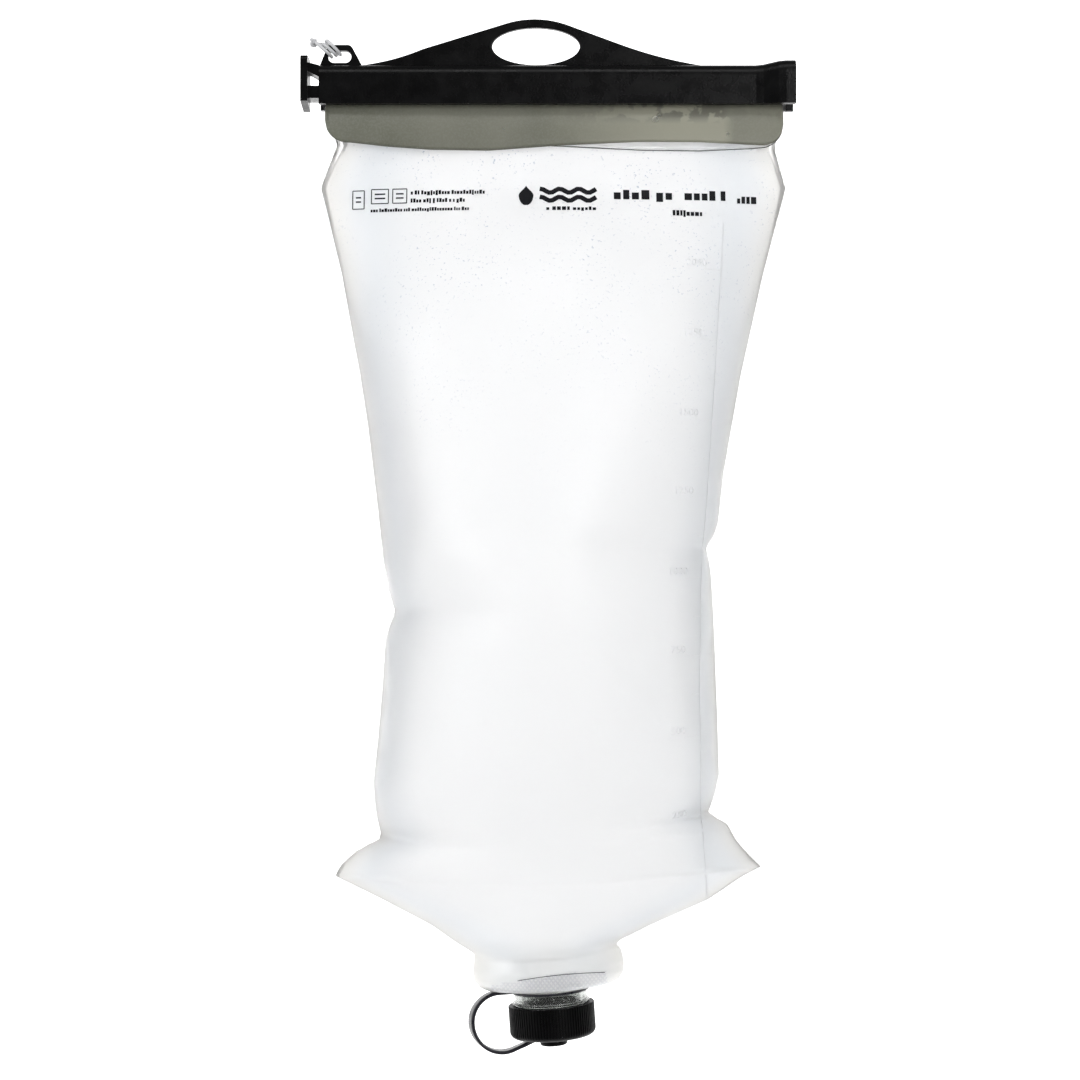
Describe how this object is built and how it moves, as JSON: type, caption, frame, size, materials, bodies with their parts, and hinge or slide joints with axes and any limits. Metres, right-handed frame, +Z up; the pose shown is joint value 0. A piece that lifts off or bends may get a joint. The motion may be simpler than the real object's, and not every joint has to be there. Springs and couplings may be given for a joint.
{
  "type": "hydration bladder",
  "caption": "Collapsible soft water container with a slide-on closure bar, carrying handle, folded mouth and a threaded spout with a tethered screw cap.",
  "frame": {"origin": "middle of the oval finger hole in the handle of the closure bar", "axes": "+Z up along the hanging bag, from the spout towards the handle; +X along the closure bar towards its open flared end; -Y is the front, where the folded mouth hangs"},
  "size_m": [0.1822, 0.098, 0.3824],
  "materials": {
    "black_bar": "satin moulded, fine spark texture",
    "white_rail": "extruded, satin",
    "frosted_film": "frosted translucent polyurethane film, satin",
    "clear_film": "clear polyurethane film, glossy",
    "grey_film": "smoky olive-grey translucent film, satin",
    "clear_spout": "clear moulded, glossy",
    "black_tether": "smooth moulded elastomer, satin",
    "black_cap": "satin moulded with fine grip ribs",
    "white_liner": "soft matt seal",
    "white_cord": "thin translucent braided cord"
  },
  "bodies": {
    "closure": {"closure_bar": "black_bar", "leash_cord": "white_cord", "leash_knot": "white_cord"},
    "bag": {"fold_rail": "white_rail", "inner_mouth_lip": "clear_film", "outer_mouth_lip": "grey_film", "front_film": "frosted_film", "back_film": "frosted_film", "left_side_weld": "clear_film", "right_side_weld": "clear_film", "left_bottom_weld": "clear_film", "right_bottom_weld": "clear_film", "spout": "clear_spout", "front_spout_weld": "frosted_film", "back_spout_weld": "frosted_film"},
    "tether": {"tether_neck_ring": "black_tether", "tether_strap": "black_tether"},
    "tether_end": {"tether_button_ring": "black_tether"},
    "seal": {"cap_liner": "white_liner"},
    "cap": {"cap": "black_cap"}
  },
  "joints": [
    {"name": "closure_slide", "type": "slide", "parent": "closure", "child": "bag", "axis": [1, 0, 0], "range_m": [0, 0.175]},
    {"name": "tether_swivel", "type": "hinge", "parent": "bag", "child": "tether", "pos_m": [0.00527, 0, -0.3487], "axis": [0.0698, 0, -0.9976], "continuous": true},
    {"name": "tether_travel", "type": "slide", "parent": "tether", "child": "tether_end", "axis": [0.0698, 0, -0.9976], "range_m": [0, 0.00556], "deforming": ["tether_strap"]},
    {"name": "cap_travel", "type": "slide", "parent": "bag", "child": "seal", "axis": [0.0698, 0, -0.9976], "range_m": [0, 0.00556]},
    {"name": "cap_turn", "type": "hinge", "parent": "seal", "child": "cap", "pos_m": [0.00645, 0, -0.36556], "axis": [0.0698, 0, -0.9976], "range_deg": [0, 629.9]}
  ],
  "couplings": [
    {"joint": "cap_travel", "follows": "cap_turn", "m_per_rad": 0.00050611},
    {"joint": "tether_travel", "follows": "cap_turn", "m_per_rad": 0.00050611}
  ]
}
